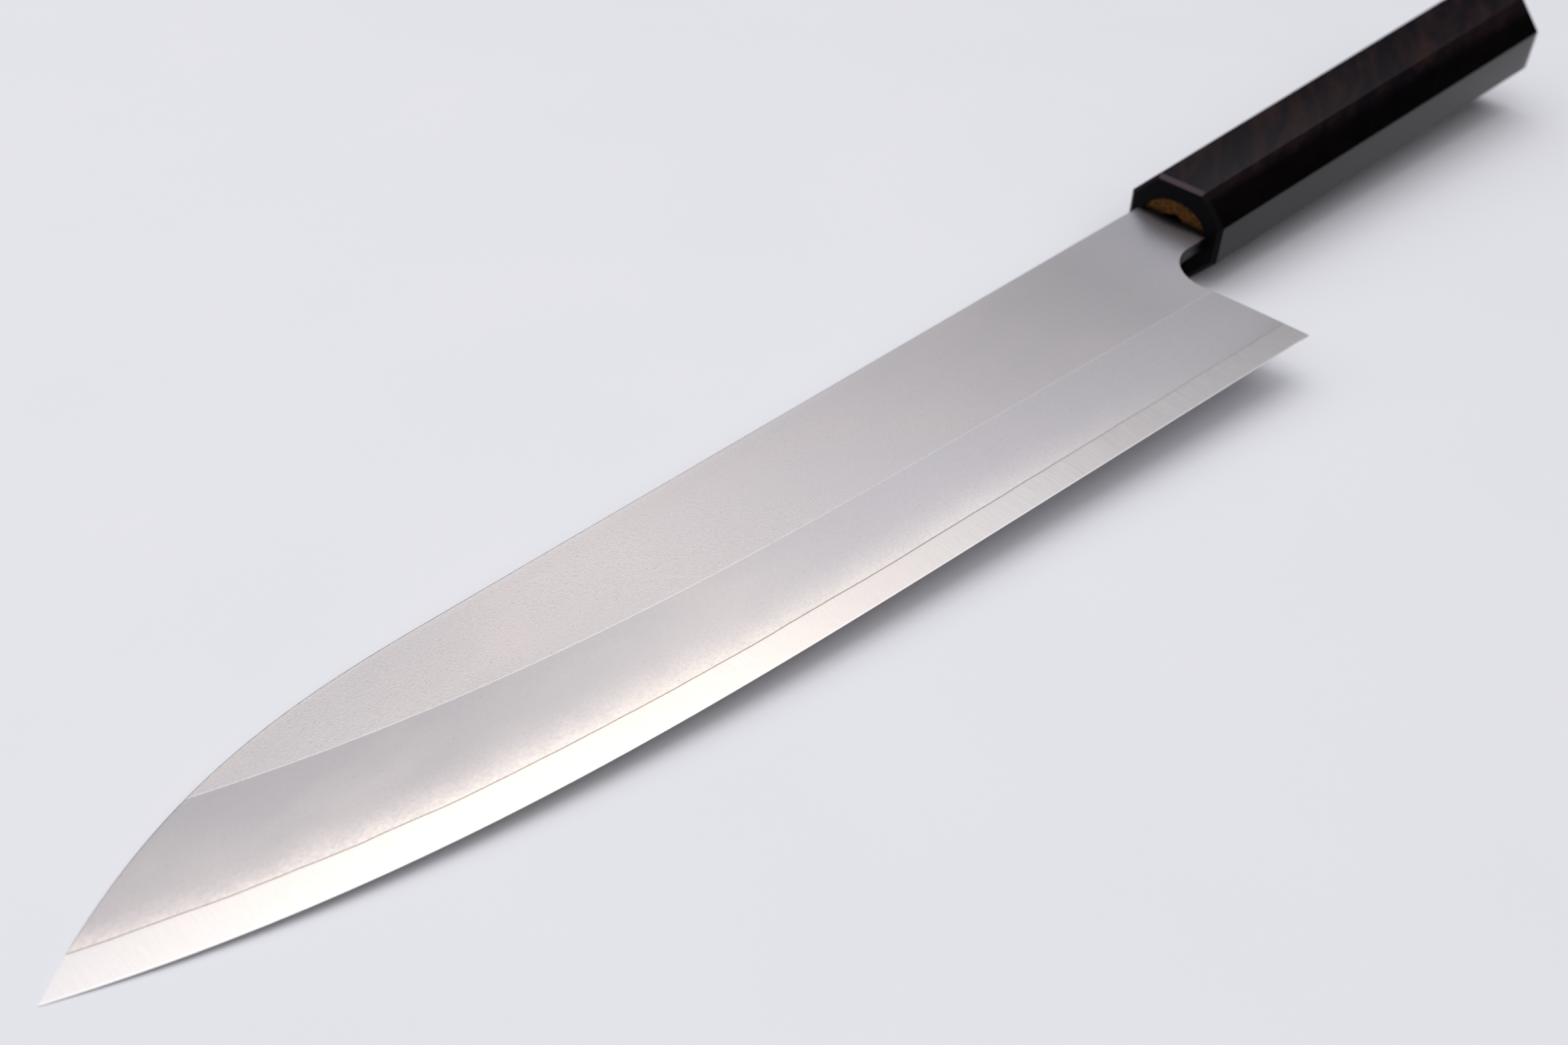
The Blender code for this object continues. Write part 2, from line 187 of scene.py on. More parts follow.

# Colours of the marks on the core, and of its painted glints and painted edge highlight
SCRATCH_GREY = (0.25, 0.235, 0.24)
GLINT_BRIGHT = (0.90, 0.84, 0.79)
GLINT_STRENGTH = 0.32
CORE_SPOT_GREY = (0.30, 0.28, 0.27)
CORE_SPOT_STRENGTH = 0.35
WELD_BROWN = (0.27, 0.22, 0.19)
# painted highlight along the cutting edge
EDGE_HIGHLIGHT = (0.90, 0.88, 0.87)

# Painted shade on the choil and the neck's underside, which face the shadowed floor and the handle's
# dark front
NECK_SHADE = (0.030, 0.029, 0.030)
NECK_SHADE_ENDS = (CHOIL_AHEAD / MM + 1.2, CHOIL_AHEAD / MM + 3.2)
NECK_SHADE_STARTS = (4.0, 5.0)          # mm below the spine

# Painted shade where the blade enters the handle
JOINT_SHADE = (0.030, 0.031, 0.042)
JOINT_SHADE_STRENGTH = 0.82
JOINT_SHADE_MIDDLE = 8.0                  # mm below the spine
JOINT_SHADE_REACH = 3.0                   # mm ahead of the handle
JOINT_SHADE_WAVER = 0.5                   # mm that its end wavers to either side

# Wood of the handle
FIGURE_LEAN = math.radians(-30)    # the brown patches run slantwise over the handle
EBONY_DARK = ((0.0008, 0.0006, 0.0008), (0.0022, 0.0015, 0.0017))
# painted light: the broad flats' lighter bluish tone
EBONY_SMOKY_LIT = ((0.0040, 0.0034, 0.0056), (0.0070, 0.0058, 0.0088))
EBONY_BROWN = ((0.0190, 0.0085, 0.0078), (0.0400, 0.0185, 0.0165))
PORE_BLACK = (0.0012, 0.0009, 0.0010)
END_GRAIN = (0.0030, 0.0032, 0.0036)
END_GRAIN_ROUGHNESS = 0.60
# the chamfer's pale sawn colour, shown mostly where it faces up as a painted highlight
SAWN_PALE_HIGHLIGHT = (0.125, 0.095, 0.105)
SAWN_ROUGHNESS = 0.36
EBONY_SHEEN = (0.95, 0.87, 1.0, 1.0)
EBONY_IOR = 1.25

# Wood of the insert
INSERT_PALE = ((0.10, 0.037, 0.005), (0.24, 0.100, 0.016))
SPECKLE_BROWN = (0.026, 0.012, 0.004)
# scorch beside the tang, and painted shade deeper in
SCORCH_AND_SHADE = (0.004, 0.003, 0.002)
INSERT_SPECULAR = 0.12

# Resin and floor
RESIN_BROWN = ((0.030, 0.020, 0.014), (0.075, 0.052, 0.036))
FLOOR_PALE = ((0.846, 0.852, 0.908), (0.876, 0.880, 0.930))
FLOOR_ROUGHNESS = 0.8

# Noise values lie mostly between these two
NOISE_LOW = 0.3
NOISE_HIGH = 0.7
SPOT_DRAW = 0.62                   # cells whose drawn number is above this hold a spot

# Camera
LENS = 35.0
SENSOR = 36.0
CAMERA_PLACE = Vector((FRONT_X - 259.8 * MM, -144.4 * MM, 169.6 * MM))
CAMERA_AZIMUTH = math.radians(-44.87)
CAMERA_ELEVATION = math.radians(41.80)
CAMERA_ROLL = math.radians(0.61)
F_STOP = 19.0
FOCUS_AHEAD = 150 * MM

# The floor touches the tip and the lower front edge of the handle
FLOOR_HALF = 8.0                   # metres

# Ceiling light: how bright it is by the height of the direction (0 level, 1 overhead),
# and how far it dims beyond the tip and on the camera's side
CEILING_FROM = 0.38
CEILING_TO = 0.74
ROOM_LEVEL = 0.025
CEILING_LEVEL = 1.26
CEILING_FADE_FROM = -0.4
CEILING_FADE_TO = 0.55
CEILING_FADE = 0.70
CEILING_COLOUR = (0.97, 0.975, 1.0)
CAMERA_SIDE_FROM = -0.75
CAMERA_SIDE_TO = 0.15
CAMERA_SIDE = 0.68
BACKDROP = (0.72, 0.73, 0.76)


# ---------------------------------------------------------------- blade formulas

def x_at(ahead):
    return FRONT_X - ahead


def grown(ahead, start, run, amount, power):
    """Zero up to start, then a power curve that reaches amount after run."""
    return amount * (max(0.0, ahead - start) / run) ** power


def edge_y(ahead):
    ahead = max(ahead, CHOIL_AHEAD)
    belly = grown(ahead, BELLY_START, BLADE_END - BELLY_START, BELLY_CLIMB, BELLY_POWER)
    return EDGE_START_Y + EDGE_RISE * ahead + belly


def spine_y(ahead):
    drop = grown(ahead, POINT_START, BLADE_END - POINT_START, POINT_DROP, POINT_POWER)
    return max(SPINE_START_Y + SPINE_RISE * max(ahead, 0.0) - drop, edge_y(ahead))


def bevel_width(ahead):
    return BEVEL_WIDTH + grown(ahead, BEVEL_GROWTH_START, BEVEL_GROWTH_RUN, BEVEL_GROWTH, 2)


def shinogi_half(ahead):
    run = (max(ahead, CHOIL_AHEAD) - CHOIL_AHEAD) / (BLADE_END - CHOIL_AHEAD)
    return HEEL_HALF + (TIP_HALF - HEEL_HALF) * min(run, 1.0)


def bevel_half(ahead, share):
    rise = share + CONVEXITY * share * (1 - share)
    return EDGE_HALF + (shinogi_half(ahead) - EDGE_HALF) * rise


def half_thickness(ahead, y):
    above_edge = y - edge_y(ahead)
    width = bevel_width(ahead)
    if above_edge < width:
        return bevel_half(ahead, above_edge / width)
    return shinogi_half(ahead) + FLAT_TAPER * (above_edge - width)


def core_line(ahead):
    """Share of the bevel where the cladding gives way to the core, gently wavy."""
    dip = grown(ahead, CORE_DIP_START, BLADE_END - CORE_DIP_START, CORE_LINE_DIP, 2)
    slow = noise.noise(Vector((ahead / LINE_WAVE_LENGTH, WAVE_ROW, WAVE_ROW)))
    quick = noise.noise(Vector((QUICK_WAVE * ahead / LINE_WAVE_LENGTH, QUICK_WAVE_ROW, WAVE_ROW)))
    return CORE_LINE - dip + LINE_WAVE * (slow + QUICK_WAVE_SHARE * quick)


def core_half(ahead):
    return bevel_half(ahead, core_line(ahead))


def weld_gap(ahead):
    """Room between core and cladding that opens as a groove of even width at the surface."""
    return GROOVE_WIDTH * (shinogi_half(ahead) - EDGE_HALF) / bevel_width(ahead)


def feather_share(ahead):
    """Share of the bevel at which the cladding runs out to nothing."""
    goal = core_half(ahead) + weld_gap(ahead)
    low, high = core_line(ahead), 1.0
    for _ in range(HALVINGS):
        middle = (low + high) / 2
        if bevel_half(ahead, middle) < goal:
            low = middle
        else:
            high = middle
    return high


def cladding_end():
    """The last place where the spine still clears the feather line."""
    low, high = POINT_START, BLADE_END
    for _ in range(HALVINGS):
        middle = (low + high) / 2
        feather = edge_y(middle) + feather_share(middle) * bevel_width(middle)
        if feather < spine_y(middle):
            low = middle
        else:
            high = middle
    return low


def stations(end):
    places = [-TANG_LENGTH - RUN_OUT]
    for step in range(STRAIGHT_STATIONS):
        places.append(CURVE_START * step / STRAIGHT_STATIONS)
    for step in range(CURVED_STATIONS + 1):
        turn = math.pi / 2 * step / CURVED_STATIONS
        places.append(CURVE_START + (end - CURVE_START) * math.sin(turn))
    return places


# ---------------------------------------------------------------- mesh helpers

def finish_mesh(name, bm, crease):
    """A smooth-shaded mesh whose edges stay crisp where they turn by more than crease."""
    bmesh.ops.remove_doubles(bm, verts=bm.verts, dist=MERGE)
    bmesh.ops.recalc_face_normals(bm, faces=bm.faces)
    mesh = bpy.data.meshes.new(name)
    bm.to_mesh(mesh)
    bm.free()
    mesh.shade_smooth()
    mesh.set_sharp_from_angle(angle=math.radians(crease))
    return mesh


def add_object(name, mesh):
    obj = bpy.data.objects.new(name, mesh)
    bpy.context.scene.collection.objects.link(obj)
    return obj


def loft_rings(name, rings_of_points, crease):
    """Join closed rings of points into one capped body."""
    bm = bmesh.new()
    rings = [[bm.verts.new(point) for point in points] for points in rings_of_points]
    for ring, following in zip(rings, rings[1:]):
        for here in range(len(ring)):
            beside = (here + 1) % len(ring)
            bm.faces.new((ring[here], ring[beside], following[beside], following[here]))
    bm.faces.new(rings[0])
    bm.faces.new(rings[-1])
    return add_object(name, finish_mesh(name, bm, crease))


def cut_away(target, cutters, crease):
    """Cut the cutters out of target, make that its mesh, and drop the cutters."""
    for cutter in cutters:
        boolean = target.modifiers.new("cut_" + cutter.name, "BOOLEAN")
        boolean.operation = "DIFFERENCE"
        boolean.solver = "EXACT"
        boolean.object = cutter
    bpy.context.view_layer.update()
    evaluated = target.evaluated_get(bpy.context.evaluated_depsgraph_get())
    mesh = bpy.data.meshes.new_from_object(evaluated)
    target.modifiers.clear()
    target.data = mesh
    mesh.shade_smooth()
    mesh.set_sharp_from_angle(angle=math.radians(crease))


def remove(*objects):
    for obj in objects:
        bpy.data.objects.remove(obj, do_unlink=True)


# ---------------------------------------------------------------- blade pieces

def eased_top(ahead, outer):
    """The rounded corner between the flank and the spine, as (y, z)."""
    top = spine_y(ahead)
    height = max(top - edge_y(ahead), 0.0)
    ease = min(SPINE_EASE, EASE_OF_THICKNESS * outer, EASE_OF_HEIGHT * height)
    points = []
    for step in range(EASE_STEPS + 1):
        turn = math.pi / 2 * step / EASE_STEPS
        points.append((top - ease * (1 - math.sin(turn)), outer - ease * (1 - math.cos(turn))))
    return points


def cladding_section(ahead):
    feather = feather_share(ahead)
    base = edge_y(ahead)
    width = bevel_width(ahead)
    top = spine_y(ahead)
    inner = core_half(ahead) + weld_gap(ahead)
    thinnest = inner + FEATHER_EDGE
    outer_top = max(half_thickness(ahead, top), thinnest)
    corner = eased_top(ahead, outer_top)
    limit = corner[0][0]
    bevel = [feather + (1 - feather) * step / BEVEL_ROWS for step in range(BEVEL_ROWS)]
    bevel += [1 - RIDGE_HOLD / width, 1]
    rows = [min(base + share * width, limit) for share in bevel]
    flat_low = min(rows[-1] + RIDGE_HOLD, limit)
    flat_high = max(limit - RIDGE_HOLD, flat_low)
    rows += [flat_low + (flat_high - flat_low) * step / FLAT_ROWS for step in range(FLAT_ROWS + 1)]
    flank = [(y, max(half_thickness(ahead, y), thinnest)) for y in rows]
    flank += [(y, max(z, thinnest)) for y, z in corner]
    return flank + [(top, inner)]


def core_section(ahead):
    line = core_line(ahead)
    base = edge_y(ahead)
    top = spine_y(ahead)
    half = core_half(ahead)
    rows = [min(base + line * bevel_width(ahead) * step / CORE_ROWS, top)
            for step in range(CORE_ROWS + 1)]
    flank = [(y, min(half_thickness(ahead, y), half)) for y in rows]
    flank.append((top, min(half_thickness(ahead, top), half)))
    return flank + [(y, -z) for y, z in reversed(flank)]


def outline_prism(name, points):
    """A flat outline in the XY plane made thick enough to pass through the blade."""
    bm = bmesh.new()
    low = [bm.verts.new((x, y, -CUTTER_HALF)) for x, y in points]
    high = [bm.verts.new((x, y, CUTTER_HALF)) for x, y in points]
    for here in range(len(points)):
        beside = (here + 1) % len(points)
        bm.faces.new((low[here], low[beside], high[beside], high[here]))
    bm.faces.new(low)
    bm.faces.new(high)
    bmesh.ops.triangulate(bm, faces=[f for f in bm.faces if len(f.verts) > 4])
    return add_object(name, finish_mesh(name, bm, CREASE))


def tang_half(behind):
    return TANG_ROOT_HALF + (TANG_END_HALF - TANG_ROOT_HALF) * behind / TANG_LENGTH


def choil_points():
    heel_y = edge_y(CHOIL_AHEAD)
    low_ahead = CHOIL_AHEAD - CHOIL_LEAN * FAR
    top_ahead = CHOIL_AHEAD + CHOIL_LEAN * (CHOIL_TOP_Y - heel_y)
    points = [(x_at(low_ahead), heel_y - FAR), (x_at(top_ahead), CHOIL_TOP_Y)]
    for step in range(1, ARC_STEPS + 1):
        turn = math.pi / 2 * step / ARC_STEPS
        across = top_ahead - CHOIL_RADIUS * (1 - math.cos(turn))
        points.append((x_at(across), CHOIL_TOP_Y + CHOIL_RADIUS * math.sin(turn)))
    return points


def below_neck():
    shoulder = x_at(NECK_GAP)
    tang_end = x_at(-TANG_LENGTH)
    points = choil_points()
    points += [(shoulder, points[-1][1]), (shoulder, TANG_CENTRE_Y - tang_half(0))]
    points += [(tang_end, TANG_CENTRE_Y - tang_half(TANG_LENGTH)), (tang_end, TANG_CENTRE_Y)]
    points += [(tang_end + FAR, TANG_CENTRE_Y), (tang_end + FAR, points[0][1])]
    return outline_prism("below_neck", points)


def above_tang():
    shoulder = x_at(NECK_GAP)
    tang_end = x_at(-TANG_LENGTH)
    under = TANG_CENTRE_Y - TANG_END_HALF / 2
    points = [(shoulder, FAR), (shoulder, TANG_CENTRE_Y + tang_half(0))]
    points += [(tang_end, TANG_CENTRE_Y + tang_half(TANG_LENGTH)), (tang_end, under)]
    points += [(tang_end + FAR, under), (tang_end + FAR, FAR)]
    return outline_prism("above_tang", points)


def mark_blade(mesh):
    """Store where each vertex lies on the blade, for the steel's finish to follow."""
    names = ("ahead_mm", "bevel_share", "above_line_mm", "below_spine_mm")
    layers = [mesh.attributes.new(name, "FLOAT", "POINT") for name in names]
    for vert in mesh.vertices:
        ahead = FRONT_X - vert.co.x
        above = vert.co.y - edge_y(ahead)
        width = bevel_width(ahead)
        values = (
            ahead / MM,
            above / width,
            (above - core_line(ahead) * width) / MM,
            (spine_y(ahead) - vert.co.y) / MM,
        )
        for layer, value in zip(layers, values):
            layer.data[vert.index].value = value


def blade_layer(name, section, end, side, cutters, material, node):
    rings = [[(x_at(ahead), y, side * z) for y, z in section(ahead)] for ahead in stations(end)]
    piece = loft_rings(name, rings, BLADE_CREASE)
    cut_away(piece, cutters, BLADE_CREASE)
    mark_blade(piece.data)
    piece.data.materials.append(material)
    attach(piece, "root")
    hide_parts(node)
    return piece


def build_blade():
    cutters = [below_neck(), above_tang()]
    core = core_steel()
    clad = cladding_steel()
    end = cladding_end()
    middle = blade_layer("core_layer", core_section, BLADE_END, 1, cutters, core, "blade_core")
    left = blade_layer("left_layer", cladding_section, end, 1, cutters, clad, "cladding_left")
    right = blade_layer("right_layer", cladding_section, end, -1, cutters, clad, "cladding_right")
    remove(*cutters)


# ---------------------------------------------------------------- handle pieces

def octagon(half_height, half_width):
    flat_y = BROAD_FLAT * half_height
    flat_z = NARROW_FLAT * half_width
    quarter = [(half_height, flat_z), (flat_y, half_width)]
    upper = quarter + [(-y, z) for y, z in reversed(quarter)]
    return upper + [(y, -z) for y, z in reversed(upper)]


def inset_corners(corners, distance):
    """Move every side of a convex outline inwards by distance."""
    count = len(corners)
    moved = []
    for here in range(count):
        a, b, c = (Vector(corners[(here + shift) % count]) for shift in (-1, 0, 1))
        first = (b - a).normalized()
        second = (c - b).normalized()
        inward = Vector((first.y, -first.x)) + Vector((second.y, -second.x))
        if inward.dot(b) > 0:
            inward.negate()
        inward.normalize()
        half_turn = math.acos(max(-1.0, min(1.0, first.dot(second)))) / 2
        moved.append(b + inward * distance / math.cos(half_turn))
    return moved


def rounded(corners, radius):
    """Replace each corner of a convex outline by a small arc."""
    count = len(corners)
    points = []
    for here in range(count):
        a, b, c = (Vector(corners[(here + shift) % count]) for shift in (-1, 0, 1))
        before = (a - b).normalized()
        after = (c - b).normalized()
        half_angle = before.angle(after) / 2
        reach = radius / math.tan(half_angle)
        centre = b + (before + after).normalized() * radius / math.sin(half_angle)
        start = b + before * reach - centre
        turn = (b + after * reach - centre).angle_signed(start)
        for step in range(ROUND_STEPS + 1):
            angle = turn * step / ROUND_STEPS
            cos, sin = math.cos(angle), math.sin(angle)
            points.append(centre + Vector((start.x * cos - start.y * sin,
                                           start.x * sin + start.y * cos)))
    return points


def handle_ring(x, inset):
    share = (x - FRONT_X) / HANDLE_LENGTH
    half_height = FRONT_HALF_HEIGHT + (BUTT_HALF_HEIGHT - FRONT_HALF_HEIGHT) * share
    half_width = FRONT_HALF_WIDTH + (BUTT_HALF_WIDTH - FRONT_HALF_WIDTH) * share
    outline = rounded(inset_corners(octagon(half_height, half_width), inset), LONG_EDGE_ROUND)
    return [(x, point.x, point.y) for point in outline]


def oval_rod(name, half_height, half_width, start, end):
    sections = []
    for x in (start, end):
        points = []
        for step in range(ELLIPSE_STEPS):
            turn = 2 * math.pi * step / ELLIPSE_STEPS
            points.append((x, half_height * math.cos(turn), half_width * math.sin(turn)))
        sections.append(points)
    return loft_rings(name, sections, OVAL_CREASE)


def build_handle():
    sections = []
    for step in range(ROUND_STEPS + 1):
        share = step / ROUND_STEPS
        sections.append(handle_ring(FRONT_X + FRONT_CHAMFER * share, FRONT_CHAMFER * (1 - share)))
    start = FRONT_X + FRONT_CHAMFER
    end = HANDLE_HIGH.x - BUTT_ROUND
    for step in range(1, HANDLE_STATIONS):
        sections.append(handle_ring(start + (end - start) * step / HANDLE_STATIONS, 0))
    for step in range(ROUND_STEPS + 1):
        turn = math.pi / 2 * step / ROUND_STEPS
        sections.append(handle_ring(end + BUTT_ROUND * math.sin(turn),
                                    BUTT_ROUND * (1 - math.cos(turn))))
    handle = loft_rings("handle_wood", sections, CREASE)
    bore = oval_rod("bore", INSERT_HALF_HEIGHT + BORE_GAP, INSERT_HALF_WIDTH + BORE_GAP,
                    FRONT_X - FRONT_CHAMFER, FRONT_X + INSERT_LENGTH + BORE_END_GAP)
    cut_away(handle, [bore], CREASE)
    remove(bore)
    handle.data.materials.append(ebony())
    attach(handle, "root")
    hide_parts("handle")


def slot_cutter():
    """A square hole around the tang that opens out towards its end."""
    corners = [(1, 1), (-1, 1), (-1, -1), (1, -1)]
    mouth = (-NECK_GAP, SLOT_MOUTH_CLEARANCE)
    end = (TANG_LENGTH + SLOT_END_GAP, SLOT_END_CLEARANCE)
    rings = []
    for behind, room in (mouth, end):
        half_y = tang_half(max(behind, 0.0)) + room
        half_z = half_thickness(0, SPINE_START_Y) + room
        rings.append([(x_at(-behind), TANG_CENTRE_Y + a * half_y, b * half_z) for a, b in corners])
    return loft_rings("slot", rings, CREASE)


def pit_cutter():
    """The pocket beside the tang, with an uneven wall; the insert's finish paints it dark with scorch
    and painted shade.
    """
    middle_z = half_thickness(0, SPINE_START_Y)
    bm = bmesh.new()
    bmesh.ops.create_icosphere(bm, subdivisions=PIT_SUBDIVISIONS, radius=1)
    for vert in bm.verts:
        rough = noise.fractal(vert.co * PIT_WAVES, PIT_DIMENSION, PIT_OCTAVE_STEP, PIT_OCTAVES)
        vert.co *= min(1 + PIT_ROUGHNESS * rough, 1.0)
        vert.co = Vector((FRONT_X + vert.co.x * PIT_DEPTH,
                          TANG_CENTRE_Y + vert.co.y * PIT_HALF_HEIGHT,
                          middle_z + vert.co.z * (PIT_REACH - middle_z)))
    return add_object("pit", finish_mesh("pit", bm, OVAL_CREASE))


def build_insert():
    insert = oval_rod("insert_plug", INSERT_HALF_HEIGHT, INSERT_HALF_WIDTH,
                      FRONT_X + INSERT_RECESS, FRONT_X + INSERT_LENGTH)
    cutters = [slot_cutter(), pit_cutter()]
    cut_away(insert, cutters, OVAL_CREASE)
    remove(*cutters)
    insert.data.materials.append(insert_wood())
    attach(insert, "root")
    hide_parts("handle_insert")


def finish_resin():
    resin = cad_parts["tang_resin"]
    resin.data.materials.clear()
    resin.data.materials.append(cured_resin())


# ---------------------------------------------------------------- shader helpers

def add_node(tree, kind, inputs=None, **settings):
    made = tree.nodes.new(kind)
    for name, value in settings.items():
        setattr(made, name, value)
    for name, value in (inputs or {}).items():
        if isinstance(value, bpy.types.NodeSocket):
            tree.links.new(value, made.inputs[name])
        else:
            made.inputs[name].default_value = value
    return made


def new_material(name):
    material = bpy.data.materials.new(name)
    material.use_nodes = True
    return material, material.node_tree, material.node_tree.nodes["Principled BSDF"]


def plug(tree, shader, **sockets):
    """Link values to the shader's sockets; an underscore stands for a space in a name."""
    for name, value in sockets.items():
        tree.links.new(value, shader.inputs[name.replace("_", " ")])


def coordinates(tree, per_mm, lean=0.0):
    """Object coordinates in millimetres, turned about Z by lean, times a scale for each axis."""
    place = add_node(tree, "ShaderNodeTexCoord").outputs["Object"]
    if lean:
        turn = {"Vector": place, "Angle": lean}
        place = add_node(tree, "ShaderNodeVectorRotate", turn, rotation_type="Z_AXIS").outputs[0]
    scale = tuple(value / MM for value in per_mm)
    return add_node(tree, "ShaderNodeVectorMath", {0: place, 1: scale}, operation="MULTIPLY").outputs[0]


def cloud(tree, per_mm, detail, rough, distortion=0.0, lean=0.0):
    """Soft noise from 0 to 1; per_mm is how quickly it changes along X, Y and Z."""
    inputs = {"Vector": coordinates(tree, per_mm, lean), "Scale": 1.0, "Detail": detail,
              "Roughness": rough, "Distortion": distortion}
    return add_node(tree, "ShaderNodeTexNoise", inputs).outputs["Fac"]


def calc(tree, operation, a, b=0.0):
    return add_node(tree, "ShaderNodeMath", {0: a, 1: b}, operation=operation).outputs[0]


def product(tree, first, *others):
    for other in others:
        first = calc(tree, "MULTIPLY", first, other)
    return first


def span(tree, value, low, high, to_low=0.0, to_high=1.0, smooth=False):
    """Map low to high onto to_low to to_high, level beyond both ends."""
    kind = "SMOOTHSTEP" if smooth else "LINEAR"
    inputs = {"Value": value, "From Min": low, "From Max": high, "To Min": to_low, "To Max": to_high}
    return add_node(tree, "ShaderNodeMapRange", inputs, interpolation_type=kind).outputs["Result"]


def vary(tree, noise_value, to_low, to_high):
    return span(tree, noise_value, NOISE_LOW, NOISE_HIGH, to_low, to_high)


def blend_value(tree, share, first, second):
    return add_node(tree, "ShaderNodeMix", {0: share, 2: first, 3: second}).outputs[0]


def blend_colour(tree, share, first, second):
    """From the first colour to the second; 0, 6, 7 and 2 are the Mix node's colour sockets."""
    made = add_node(tree, "ShaderNodeMix", data_type="RGBA")
    for index, value in ((0, share), (6, first), (7, second)):
        if isinstance(value, bpy.types.NodeSocket):
            tree.links.new(value, made.inputs[index])
        elif index == 0:
            made.inputs[index].default_value = value
        else:
            made.inputs[index].default_value = (*value, 1.0)
    return made.outputs[2]


def ramp(tree, ahead, tones):
    """A colour that changes along the blade; tones are (mm ahead of the handle, colour)."""
    made = add_node(tree, "ShaderNodeValToRGB", {"Fac": calc(tree, "DIVIDE", ahead, BLADE_END / MM)})
    stops = made.color_ramp.elements
    while len(stops) < len(tones):
        stops.new(0.5)                 # moved to its place below
    for stop, (place, colour) in zip(stops, tones):
        stop.position = place * MM / BLADE_END
        stop.color = (*colour, 1.0)
    return made.outputs["Color"]


def bump(tree, height, strength, distance_mm, under=None):
    inputs = {"Height": height, "Strength": strength, "Distance": distance_mm * MM}
    if under:
        inputs["Normal"] = under
    return add_node(tree, "ShaderNodeBump", inputs).outputs["Normal"]


def marked(tree, name):
    """One of the values that mark_blade stored on the mesh."""
    return add_node(tree, "ShaderNodeAttribute", attribute_name=name).outputs["Fac"]


def upright(tree):
    """How squarely the surface faces straight up or down, from 0 to 1."""
    normal = add_node(tree, "ShaderNodeNewGeometry").outputs["True Normal"]
    return calc(tree, "ABSOLUTE", add_node(tree, "ShaderNodeSeparateXYZ", {0: normal}).outputs["Z"])


def handle_places(tree):
    """Millimetres behind the handle's front face and to either side of its middle."""
    place = add_node(tree, "ShaderNodeTexCoord").outputs["Object"]
    axes = add_node(tree, "ShaderNodeSeparateXYZ", {0: place}).outputs
    behind = calc(tree, "DIVIDE", calc(tree, "SUBTRACT", axes["X"], FRONT_X), MM)
    sideways = calc(tree, "DIVIDE", calc(tree, "ABSOLUTE", axes["Z"]), MM)
    return behind, sideways


def pits(tree, per_mm, size):
    """Small scattered spots that fade out from their middles; zero elsewhere."""
    vector = coordinates(tree, per_mm)
    cells = add_node(tree, "ShaderNodeTexVoronoi", {"Vector": vector, "Scale": 1.0})
    near = span(tree, cells.outputs["Distance"], 0.0, size, 1.0, 0.0)
    lottery = add_node(tree, "ShaderNodeSeparateColor", {0: cells.outputs["Color"]}).outputs[0]
    return calc(tree, "MULTIPLY", near, calc(tree, "GREATER_THAN", lottery, SPOT_DRAW))


# ---------------------------------------------------------------- materials

def shaded_neck_sides(tree, below_spine, ahead):
    """One on the choil and the neck's underside, where painted shade goes."""
    sideways = span(tree, upright(tree), 0.5, 0.7, 1.0, 0.0)
    near_neck = span(tree, ahead, *NECK_SHADE_ENDS, 1.0, 0.0)
    under_spine = span(tree, below_spine, *NECK_SHADE_STARTS)
    return product(tree, sideways, near_neck, under_spine)


def joint_shade(tree, below_spine, ahead, uneven):
    """Painted shade, strongest where the blade enters the handle, gone a few millimetres ahead of it.
    """
    from_middle = calc(tree, "ABSOLUTE", calc(tree, "SUBTRACT", below_spine, JOINT_SHADE_MIDDLE))
    reach = span(tree, from_middle, 0.0, JOINT_SHADE_MIDDLE, JOINT_SHADE_REACH, JOINT_SHADE_REACH / 2)
    place = calc(tree, "ADD", ahead, vary(tree, uneven, -JOINT_SHADE_WAVER, JOINT_SHADE_WAVER))
    share = calc(tree, "DIVIDE", place, reach)
    return span(tree, share, 0.1, 1.0, JOINT_SHADE_STRENGTH, 0.0, smooth=True)


def flat_colour(tree, ahead, share, dimples, warm):
    """The upper flat: dimpled, with warm patches, and with painted shade low down past the middle."""
    colour = blend_colour(tree, warm, ramp(tree, ahead, FLAT_TONES), WARM_FLAT)
    dimpled = span(tree, dimples, 0.54, 0.71, 0.0, 0.24)
    colour = blend_colour(tree, dimpled, colour, DIMPLE_GREY)
    low_down = span(tree, share, 1.0, 1.7, 0.16, 0.0)
    past_middle = span(tree, ahead, 105.0, 150.0)
    before_tip = span(tree, ahead, 182.0, 206.0, 1.0, 0.0)
    # Painted shade: the flat is made darker low down, near the shinogi, past the middle.
    painted_low_shade = product(tree, low_down, past_middle, before_tip)
    return blend_colour(tree, painted_low_shade, colour, LOW_FLAT_SHADE)


def bevel_colour(tree, ahead, above_line, strokes, mottle, warm):
    """The bevel: a painted highlight on the polished band beside the lamination line, which fades out
    raggedly.
    """
    drift = cloud(tree, (0.16, 0.16, 0.16), detail=2.0, rough=0.5)
    slow = span(tree, drift, 0.2, 0.8, -0.7, 0.7)
    quick = span(tree, mottle, 0.2, 0.8, -1.1, 1.1)
    place = calc(tree, "ADD", above_line, calc(tree, "ADD", slow, quick))
    faded = span(tree, place, 0.0, GLOW_WIDTH, 1.0, 0.0)
    steepness = span(tree, ahead, 160.0, 240.0, 2.3, 4.0)
    # Painted highlight: the band beside the lamination line takes the bright LINE_TONES.
    painted_glow = calc(tree, "POWER", faded, steepness)
    plain = ramp(tree, ahead, BEVEL_TONES)
    colour = blend_colour(tree, painted_glow, plain, ramp(tree, ahead, LINE_TONES))
    colour = blend_colour(tree, calc(tree, "MULTIPLY", warm, WARM_ON_BEVEL), colour, WARM_BEVEL)
    stroked = span(tree, strokes, 0.55, 0.75, 0.0, 0.05)
    colour = blend_colour(tree, stroked, colour, STROKE_GREY)
    mottled = span(tree, mottle, 0.45, 0.75, 0.0, 0.16)
    return blend_colour(tree, mottled, colour, STROKE_GREY)


